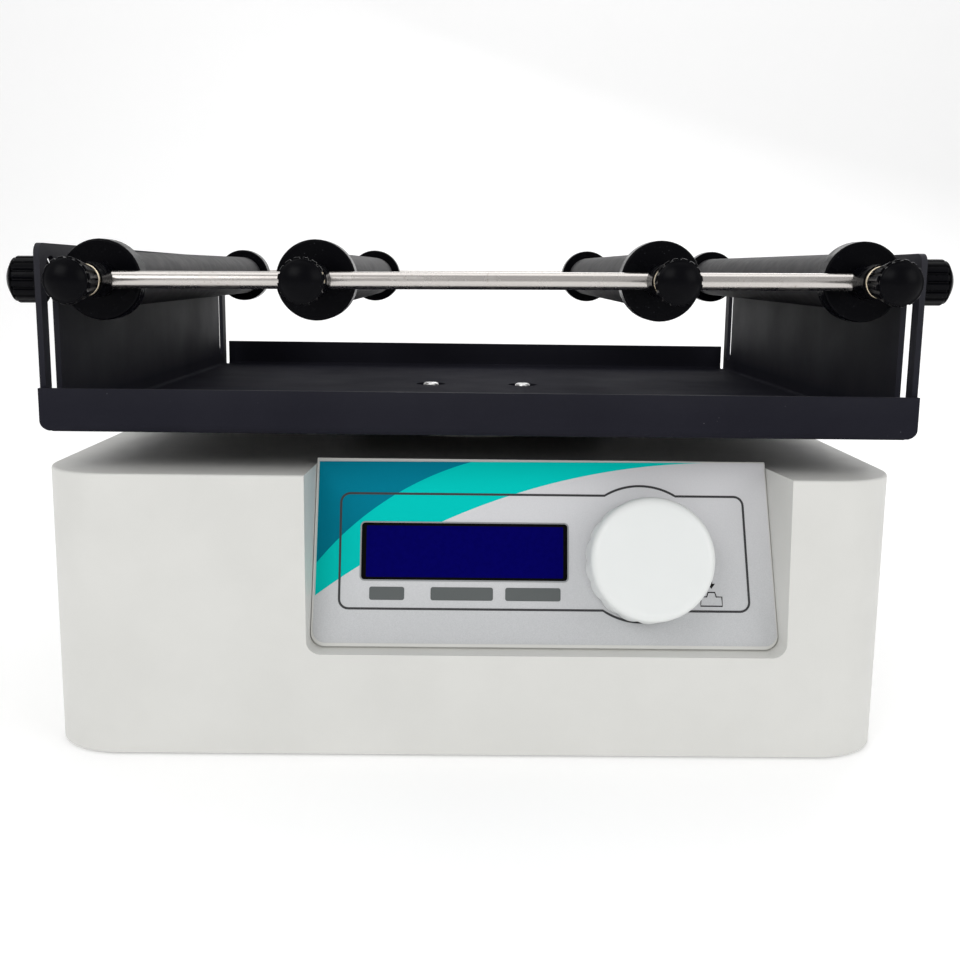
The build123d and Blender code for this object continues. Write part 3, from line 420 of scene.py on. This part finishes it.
def new_mesh(name, vertices, faces, finish, sharp_angle=None):
    """A mesh from points in millimetres: flat shaded, or smooth but for edges over an angle."""
    mesh = bpy.data.meshes.new(name)
    mesh.from_pydata([Vector(v) * MM for v in vertices], [], faces)
    mesh.validate()
    mesh.materials.append(FINISHES[finish].material)
    mesh.polygons.foreach_set("use_smooth", [sharp_angle is not None] * len(mesh.polygons))
    if sharp_angle is not None:
        mesh.set_sharp_from_angle(angle=radians(sharp_angle))
    return mesh


def place_mesh(name, mesh, place):
    piece = bpy.data.objects.new(name, mesh)
    bpy.context.scene.collection.objects.link(piece)
    piece.matrix_world = place
    return piece


def finish_piece(piece, body, replaced=()):
    """Rides a piece on its body, in place of the CAD nodes it replaces, if any."""
    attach(piece, body)
    if replaced:
        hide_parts(*replaced)


def lathe(rows, segments, radius_at=None):
    """A closed turned shape. rows are (radius, z) from one end of the axis to the other, and
    radius_at may change a radius by its angle and row."""
    vertices = []
    faces = []
    for row, (radius, z) in enumerate(rows):
        for k in range(segments):
            angle = 2 * pi * k / segments
            r = radius_at(angle, radius, z) if radius_at else radius
            vertices.append((r * cos(angle), r * sin(angle), z))
        if row:
            first = (row - 1) * segments
            for k in range(segments):
                after = (k + 1) % segments
                faces.append((first + k, first + after,
                              first + segments + after, first + segments + k))
    faces.append(tuple(reversed(range(segments))))
    last = (len(rows) - 1) * segments
    faces.append(tuple(last + k for k in range(segments)))
    return vertices, faces


def arc(middle_x, middle_y, radius, start, end, steps):
    """Points on an arc, from one angle to another, in degrees."""
    points = []
    for k in range(steps + 1):
        angle = radians(start + (end - start) * k / steps)
        points.append((middle_x + radius * cos(angle), middle_y + radius * sin(angle)))
    return points


# ---------------------------------------------------------------- CAD nodes

def repaint_cad():
    """Gives every CAD node the material of its slot. The panel under the overlay is white."""
    for name, node in frame["nodes"].items():
        for slot in node.material_slots:
            finish = "housing_white" if name == "front_panel" else slot.material.name.split(".")[0]
            slot.material = FINISHES[finish].material


def soften_edges(node_name, width):
    """Small rounded edges on a CAD node, as modifiers. width is in millimetres."""
    node = frame["nodes"][node_name]
    weld = node.modifiers.new("weld", "WELD")
    weld.merge_threshold = WELD_GAP
    bevel = node.modifiers.new("bevel", "BEVEL")
    bevel.width = width * MM
    bevel.segments = 3
    bevel.limit_method = "ANGLE"
    bevel.angle_limit = EDGE_ANGLE
    bevel.harden_normals = False
    bevel.miter_outer = "MITER_ARC"
    weighted = node.modifiers.new("normals", "WEIGHTED_NORMAL")
    weighted.keep_sharp = False


# ---------------------------------------------------------------- clamp knobs

def groove_at(angle, radius, z, low, high):
    """How deep a grip groove is, from 0 to 1: narrow, with rounded ends between two heights."""
    pitch = 2 * pi / KNOB_RIBS
    across = abs((angle + pitch / 2) % pitch - pitch / 2) * radius
    past_end = max(low - z, z - high, 0.0)
    away = hypot(across, past_end) / GROOVE_HALF
    return sqrt(1.0 - away * away) if away < 1.0 else 0.0


def rows_between(start, end, count):
    """Evenly spaced (radius, z) rows from one profile point to another, without the first."""
    return [
        (start[0] + (end[0] - start[0]) * k / count, start[1] + (end[1] - start[1]) * k / count)
        for k in range(1, count + 1)
    ]


def dome_rows(radius, top, rise, count):
    """Rows of a shallow spherical end that closes at the height top."""
    sphere = (radius * radius + rise * rise) / (2 * rise)
    widest = asin(radius / sphere)
    rows = []
    for k in range(1, count + 1):
        angle = widest * (1 - k / count)
        rows.append((max(sphere * sin(angle), 0.02), top - sphere * (1 - cos(angle))))
    return rows


def knob_mesh(name, sizes):
    """A ribbed grip that stands on z = 0, with a rim and a domed end."""
    length, foot_r, wide_r = sizes
    rim_top = length - DOME_RISE
    rim_low = rim_top - RIM_T
    shoulder = (wide_r, rim_low - 0.5)
    rows = [(3.2, 0.25), (3.4, 0.0), (foot_r - 0.5, 0.0), (foot_r - 0.1, 0.15), (foot_r, 0.5)]
    rows += rows_between(rows[-1], shoulder, 26)
    rim_r = wide_r - RIM_IN
    dome_r = wide_r - DOME_IN
    rows += [
        (wide_r - 0.15, rim_low - 0.2), (dome_r - 0.1, rim_low - 0.05),
        (dome_r - 0.1, rim_low + 0.1), (rim_r - 0.1, rim_low + 0.2), (rim_r, rim_low + 0.35),
        (rim_r, rim_top - 0.2), (rim_r - 0.15, rim_top - 0.05), (dome_r + 0.05, rim_top),
        (dome_r, rim_top + 0.02),
    ]
    rows += dome_rows(dome_r, length, DOME_RISE - 0.02, 14)

    def ribbed(angle, radius, z):
        return radius - GROOVE_DEEP * groove_at(angle, radius, z, GROOVE_LOW, shoulder[1] + 0.2)

    turned = lathe(rows, KNOB_RIBS * RIB_POINTS, ribbed)
    return new_mesh(name, *turned, "knob_black", sharp_angle=42)


def axis_frame(joint_name, node, length):
    """Matrix whose z axis is the joint's, with its origin length short of the node's outer end."""
    joint = JOINTS[joint_name]
    axis = Vector(joint["axis"]).normalized()
    start = Vector(joint["pos_m"])
    reach = max((vertex.co - start).dot(axis) for vertex in frame["nodes"][node].data.vertices)
    place = axis.to_track_quat("Z", "Y").to_matrix().to_4x4()
    place.translation = start + axis * (reach - length * MM)
    return place


def seat_ring_mesh():
    """Brass washer under a bar knob, with rounded edges."""
    outer = [(SCREW_R + 0.1, 0.0), (BRASS_R - 0.3, 0.0), (BRASS_R - 0.08, 0.1), (BRASS_R, 0.35),
             (BRASS_R, BRASS_T - 0.35), (BRASS_R - 0.08, BRASS_T - 0.1), (BRASS_R - 0.3, BRASS_T),
             (SCREW_R + 0.1, BRASS_T)]
    return new_mesh("seat_ring", *lathe(outer, 64), "brass", sharp_angle=50)


def clamp_screw_mesh():
    """Threaded shank of a bar knob, with a chamfered tip at z = 0."""
    rows = [(SCREW_TIP_R, 0.0), (SCREW_ROOT_R, SCREW_CHAMFER)]
    turns = int((SCREW_L - SCREW_CHAMFER) / SCREW_PITCH)
    for turn in range(turns):
        z = SCREW_CHAMFER + turn * SCREW_PITCH
        rows += [(SCREW_ROOT_R, z + 0.1), (SCREW_R, z + 0.4), (SCREW_ROOT_R, z + 0.7)]
    rows.append((SCREW_ROOT_R, SCREW_L))
    return new_mesh("clamp_screw", *lathe(rows, 32), "shaft_steel")


def build_knobs():
    bar_head = knob_mesh("bar_knob_head", BAR_KNOB)
    frame_head = knob_mesh("frame_knob_head", FRAME_KNOB)
    ring = seat_ring_mesh()
    screw = clamp_screw_mesh()
    for number in range(1, 5):
        for end in ("front", "rear"):
            node = f"bar_knob_{number}_{end}"
            place = axis_frame(f"{node}_turn", node, BAR_KNOB[0])
            head = place_mesh(f"{node}_head", bar_head, place)
            finish_piece(head, node, [node])
            under_head = place @ Matrix.Translation((0, 0, -BRASS_T * MM))
            seat = place_mesh(f"{node}_ring", ring, under_head)
            finish_piece(seat, node)
            screw_tip = place @ Matrix.Translation((0, 0, -SCREW_L * MM))
            shank = place_mesh(f"{node}_screw", screw, screw_tip)
            finish_piece(shank, node)
    for depth in ("front", "rear"):
        for hand in ("left", "right"):
            node = f"frame_knob_{depth}_{hand}"
            place = axis_frame(f"{node}_turn", node, FRAME_KNOB[0])
            head = place_mesh(f"{node}_head", frame_head, place)
            finish_piece(head, node, [node])


# ---------------------------------------------------------------- dial and panel

def panel_frame():
    """Matrix of the panel's face: x to the right, y up along the face, z out of it."""
    joint = JOINTS["dial_turn"]
    normal = Vector(joint["axis"]).normalized()
    across = Vector((1, 0, 0))
    up = normal.cross(across)
    place = Matrix((across, up, normal)).transposed().to_4x4()
    x, y = DIAL_PLACE
    place.translation = Vector(joint["pos_m"]) - (across * x + up * y) * MM
    return place


PANEL = panel_frame()


def build_dial():
    """White dial: flat face with a soft edge, and shallow finger lobes that fade towards it."""
    rows = [(3.1, DIAL_LOW + 3.2), (DIAL_R - 3.0, DIAL_LOW + 2.4), (DIAL_R - 2.6, DIAL_LOW),
            (DIAL_R - 0.7, DIAL_LOW), (DIAL_R - 0.15, DIAL_LOW + 0.3), (DIAL_R, DIAL_LOW + 0.9)]
    shoulder = DIAL_FACE - 3.6
    rows += rows_between(rows[-1], (DIAL_NECK_R + 0.25, shoulder - 0.5), 12)
    rows.append((DIAL_NECK_R, shoulder))
    for k in range(1, 15):
        angle = pi / 2 * k / 14
        radius = DIAL_NECK_R + 0.35 * sin(2 * angle) - 3.4 * (1 - cos(angle))
        rows.append((radius, shoulder + 3.5 * sin(angle)))
    rows += [(DIAL_NECK_R - 4.6, DIAL_FACE - 0.02), (DIAL_NECK_R - 6.5, DIAL_FACE),
             (10.0, DIAL_FACE), (0.02, DIAL_FACE)]

    def lobed(angle, radius, z):
        if radius < DIAL_NECK_R - 2.0 or z > shoulder:
            return radius
        fade = 1.0 - (z - DIAL_LOW) / (shoulder - DIAL_LOW)
        between = abs(sin(angle * DIAL_LOBES / 2))
        return radius - DIAL_LOBE_DEEP * fade * (1.0 - between) ** 1.2

    turned = lathe(rows, DIAL_LOBES * RIB_POINTS, lobed)
    mesh = new_mesh("dial_cap", *turned, "dial_white", sharp_angle=50)
    place = PANEL.copy()
    place.translation = Vector(JOINTS["dial_turn"]["pos_m"])
    finish_piece(place_mesh("dial_cap", mesh, place), "dial_knob", ["dial"])


def foil(name, outline, low, high, finish, replaced=()):
    """A thin printed layer on the panel, from its outline, between two heights over the face."""
    count = len(outline)
    vertices = [(x, y, low) for x, y in outline] + [(x, y, high) for x, y in outline]
    faces = [tuple(reversed(range(count))), tuple(range(count, 2 * count))]
    for k in range(count):
        after = (k + 1) % count
        faces.append((k, after, count + after, count + k))
    piece = place_mesh(name, new_mesh(name, vertices, faces, finish), PANEL)
    finish_piece(piece, "base", replaced)


def stroke(name, path, width, low, high, finish):
    """A closed line of one width on the panel."""
    count = len(path)
    inner = []
    outer = []
    for k, (x, y) in enumerate(path):
        before_x, before_y = path[k - 1]
        after_x, after_y = path[(k + 1) % count]
        dx, dy = after_x - before_x, after_y - before_y
        length = hypot(dx, dy)
        shift_x, shift_y = -dy / length * width / 2, dx / length * width / 2
        inner.append((x - shift_x, y - shift_y))
        outer.append((x + shift_x, y + shift_y))
    vertices = []
    for height in (low, high):
        vertices += [(x, y, height) for x, y in inner] + [(x, y, height) for x, y in outer]
    faces = []
    for k in range(count):
        after = (k + 1) % count
        top = 2 * count
        faces.append((top + k, top + after, top + count + after, top + count + k))
        faces.append((k, top + k, top + after, after)[::-1])
        faces.append((count + k, count + after, top + count + after, top + count + k)[::-1])
    finish_piece(place_mesh(name, new_mesh(name, vertices, faces, finish), PANEL), "base")


def rounded_box(left, right, low, top, radius, steps=6):
    corners = ((right - radius, top - radius, 90), (right - radius, low + radius, 0),
               (left + radius, low + radius, -90), (left + radius, top - radius, -180))
    points = []
    for x, y, start in corners:
        points += arc(x, y, radius, start, start - 90, steps)
    return points[::-1]


def overlay_side(y):
    """X of the overlay's left edge, which leans, at a height on the panel."""
    top, low = OVERLAY_LEFT
    return top + (low - top) * (OVERLAY_TOP[0] - y) / (OVERLAY_TOP[0] - OVERLAY_LOW)


def overlay_height(x):
    """Y of the overlay's upper edge, which rises to the right."""
    left, right = OVERLAY_TOP
    return left + (right - left) * (x - OVERLAY_LEFT[0]) / (OVERLAY_RIGHT[0] - OVERLAY_LEFT[0])


def sweep_outline(circle, steps):
    """The part of the overlay over a large arc, from the left edge to where it meets the top."""
    middle_x, middle_y, radius = circle
    points = [(OVERLAY_LEFT[0], OVERLAY_TOP[0])]
    left_y = middle_y + sqrt(radius ** 2 - (OVERLAY_LEFT[0] - middle_x) ** 2)
    start = atan2(left_y - middle_y, overlay_side(left_y) - middle_x)
    end = pi - asin((OVERLAY_TOP[0] - middle_y) / radius)
    for _ in range(8):
        end = pi - asin((overlay_height(middle_x + radius * cos(end)) - middle_y) / radius)
    points += arc(middle_x, middle_y, radius, degrees(start), degrees(end), steps)
    return points


def field_outline():
    """The thin outline, with rounded corners, that goes round the dial above and below."""
    left, low, top = FIELD
    right_top, right_low = FIELD_RIGHT
    x, y, radius = BULGE
    r = FIELD_CORNER
    over = degrees(asin((top - y) / radius))
    under = degrees(asin((y - low) / radius))
    points = arc(left + r, top - r, r, 180, 90, 6)
    points += arc(x, y, radius, 180 - over, over, 20)
    points += arc(right_top - r, top - r, r, 90, 0, 6)
    points += arc(right_low - r, low + r, r, 0, -90, 6)
    points += arc(x, y, radius, -under, under - 180, 20)
    points += arc(left + r, low + r, r, -90, -180, 6)
    return points


def build_panel_print():
    """Overlay foil, colour sweeps, thin outline, label fields and the press symbol by the dial."""
    base = OVERLAY_T
    r = OVERLAY_CORNER
    outline = [(OVERLAY_LEFT[0], OVERLAY_TOP[0])]
    outline += arc(OVERLAY_LEFT[1] + r, OVERLAY_LOW + r, r, 180, 270, 8)
    outline += arc(OVERLAY_RIGHT[1] - r, OVERLAY_LOW + r, r, 270, 360, 8)
    outline += [(OVERLAY_RIGHT[0], OVERLAY_TOP[1])]
    foil("panel_overlay", outline, 0.01, base, "panel_silver")
    foil("panel_sweep_light", sweep_outline(LIGHT_ARC, 64)[::-1],
         base, base + INK, "ink_turquoise")
    foil("panel_sweep_dark", sweep_outline(DARK_ARC, 40)[::-1],
         base + INK, base + 2 * INK, "ink_dark_teal")
    stroke("panel_outline", field_outline(), FIELD_LINE,
           base + 2 * INK, base + 3 * INK, "ink_line")
    for number, (left, right) in enumerate(LABELS, start=1):
        foil(f"panel_label_{number}", rounded_box(left, right, LABEL_LOW, LABEL_TOP, 0.8, 5),
             base + 2 * INK, base + 3 * INK, "ink_label")
    build_press_symbol(base)


def build_press_symbol(base):
    """A push button in outline with an arrow that points down at it."""
    x, low, shoulder, top = PRESS_BUTTON
    profile = [(x - 3.9, low), (x + 3.9, low), (x + 3.7, shoulder), (x + 1.7, shoulder),
               (x + 1.2, top), (x - 1.2, top), (x - 1.7, shoulder), (x - 3.7, shoulder)]
    stroke("panel_button_symbol", profile[::-1], SYMBOL_LINE, base + 2 * INK, base + 3 * INK,
           "ink_black")
    tip, barbs, tail = PRESS_ARROW
    arrow = [(x, tip), (x + 1.3, barbs), (x + 0.35, barbs), (x + 0.35, tail),
             (x - 0.35, tail), (x - 0.35, barbs), (x - 1.3, barbs)]
    foil("panel_press_arrow", arrow, base + 2 * INK, base + 3 * INK, "ink_black")


def build_display():
    """Black window frame with rounded corners, a thin pale rim and the dark blue field in it."""
    left, right, low, top = DISPLAY
    outline = rounded_box(left, right, low, top, DISPLAY_CORNER)
    foil("display_frame", outline, -WINDOW_DEEP, WINDOW_T,
         "display_frame", ["display_window"])
    stroke("display_rim", outline, 0.5, OVERLAY_T, WINDOW_T + 0.02, "display_rim")
    left, right, low, top = DISPLAY_FIELD
    foil("display_field", rounded_box(left, right, low, top, 0.4),
         WINDOW_T, WINDOW_T + INK, "display_blue")


def build_rocker_marks():
    """Generic on and off marks on the two halves of the power rocker."""
    pivot = Matrix.Translation(Vector(ROCKER_PIVOT) * MM)
    pivot = pivot @ Matrix.Rotation(radians(ROCKER_TILT), 4, "X")
    lean = atan2(ROCKER_RISE, ROCKER_HALF)
    corners = ((-0.25, -1.2), (0.25, -1.2), (0.25, 1.2), (-0.25, 1.2))
    bar = [(x, y, z) for z in (0.0, MARK_T) for x, y in corners]
    bar_faces = [(3, 2, 1, 0), (4, 5, 6, 7), (0, 1, 5, 4), (1, 2, 6, 5), (2, 3, 7, 6), (3, 0, 4, 7)]
    ring, ring_faces = lathe([(0.75, 0.0), (1.2, 0.0), (1.2, MARK_T), (0.75, MARK_T)], 32)
    marks = (("rocker_mark_on", MARK_Z, bar, bar_faces),
             ("rocker_mark_off", -MARK_Z, ring, ring_faces[:-2]))
    for name, z, vertices, faces in marks:
        side = 1 if z > 0 else -1
        out = ROCKER_FACE + ROCKER_RISE * abs(z) / ROCKER_HALF
        place = pivot @ Matrix.Translation(Vector((0.0, out, z)) * MM)
        place = place @ Matrix.Rotation(radians(-90) - side * lean, 4, "X")
        mesh = new_mesh(name, vertices, faces, "mark_white")
        finish_piece(place_mesh(name, mesh, place), "rocker")


# ---------------------------------------------------------------- stage, light and camera

def build_stage():
    """Pale floor that curves up behind the object, in metres."""
    depth_front, depth_back, half, rise, bend = -2.4, 2.0, 3.2, 2.6, 0.9
    profile = [(depth_front, 0.0), (depth_back - bend, 0.0)]
    for k in range(1, 13):
        angle = pi / 2 * k / 12
        profile.append((depth_back - bend + bend * sin(angle), bend - bend * cos(angle)))
    profile.append((depth_back, rise))
    vertices = []
    faces = []
    for k, (y, z) in enumerate(profile):
        vertices += [(-half, y, z), (half, y, z)]
        if k:
            faces.append((2 * k - 2, 2 * k - 1, 2 * k + 1, 2 * k))
    mesh = bpy.data.meshes.new("studio_floor")
    mesh.from_pydata(vertices, [], faces)
    paper = Finish("studio_paper", (0.90, 0.90, 0.90), 0.8, Emission_Strength=0.22)
    paper.shader.inputs["Emission Color"].default_value = (1.0, 1.0, 1.0, 1.0)
    paper.color(paper.mixed(paper.noise(0.3), (0.91, 0.91, 0.91), (0.89, 0.89, 0.89)))
    mesh.materials.append(paper.material)
    mesh.polygons.foreach_set("use_smooth", [True] * len(mesh.polygons))
    floor = bpy.data.objects.new("studio_floor", mesh)
    bpy.context.scene.collection.objects.link(floor)


def add_area_light(name, place, target, size, power):
    light = bpy.data.lights.new(name, "AREA")
    light.shape = "RECTANGLE"
    light.size, light.size_y = size
    light.energy = power
    lamp = bpy.data.objects.new(name, light)
    bpy.context.scene.collection.objects.link(lamp)
    lamp.location = place
    aim = Vector(target) - Vector(place)
    lamp.rotation_euler = aim.to_track_quat("-Z", "Y").to_euler()


def build_light():
    world = bpy.data.worlds.new("studio_world")
    bpy.context.scene.world = world
    world.use_nodes = True
    background = world.node_tree.nodes["Background"]
    background.inputs["Color"].default_value = (1.0, 1.0, 1.0, 1.0)
    background.inputs["Strength"].default_value = 0.52
    add_area_light("key_light", (-0.9, -1.4, 1.2), (0, 0, 0.08), (1.1, 0.9), 9)
    add_area_light("fill_light", (1.3, -1.1, 0.8), (0, 0, 0.1), (1.0, 1.0), 5)
    add_area_light("top_light", (0.0, 0.1, 1.7), (0, 0, 0.1), (1.6, 1.2), 7)
    add_area_light("back_light", (0.5, 1.5, 1.1), (0, 0, 0.12), (1.4, 0.7), 6)


def build_camera():
    camera = bpy.data.cameras.new("photo_camera")
    camera.lens = CAMERA_LENS
    camera.sensor_width = 36.0
    camera.clip_start = 0.01
    camera.clip_end = 50.0
    forward = Vector((
        sin(CAMERA_YAW) * cos(CAMERA_PITCH),
        cos(CAMERA_YAW) * cos(CAMERA_PITCH),
        -sin(CAMERA_PITCH),
    ))
    right = Vector((cos(CAMERA_YAW), -sin(CAMERA_YAW), 0.0))
    up = right.cross(forward)
    rolled_right = cos(CAMERA_ROLL) * right + sin(CAMERA_ROLL) * up
    rolled_up = -sin(CAMERA_ROLL) * right + cos(CAMERA_ROLL) * up
    place = Matrix((rolled_right, rolled_up, -forward)).transposed().to_4x4()
    place.translation = CAMERA_PLACE
    holder = bpy.data.objects.new("photo_camera", camera)
    bpy.context.scene.collection.objects.link(holder)
    holder.matrix_world = place
    bpy.context.scene.camera = holder


repaint_cad()
soften_edges("housing_shell", 0.5)
soften_edges("tray", 0.25)
build_knobs()
build_dial()
build_panel_print()
build_display()
build_rocker_marks()
build_stage()
build_light()
build_camera()
bpy.context.scene.view_settings.view_transform = "Standard"
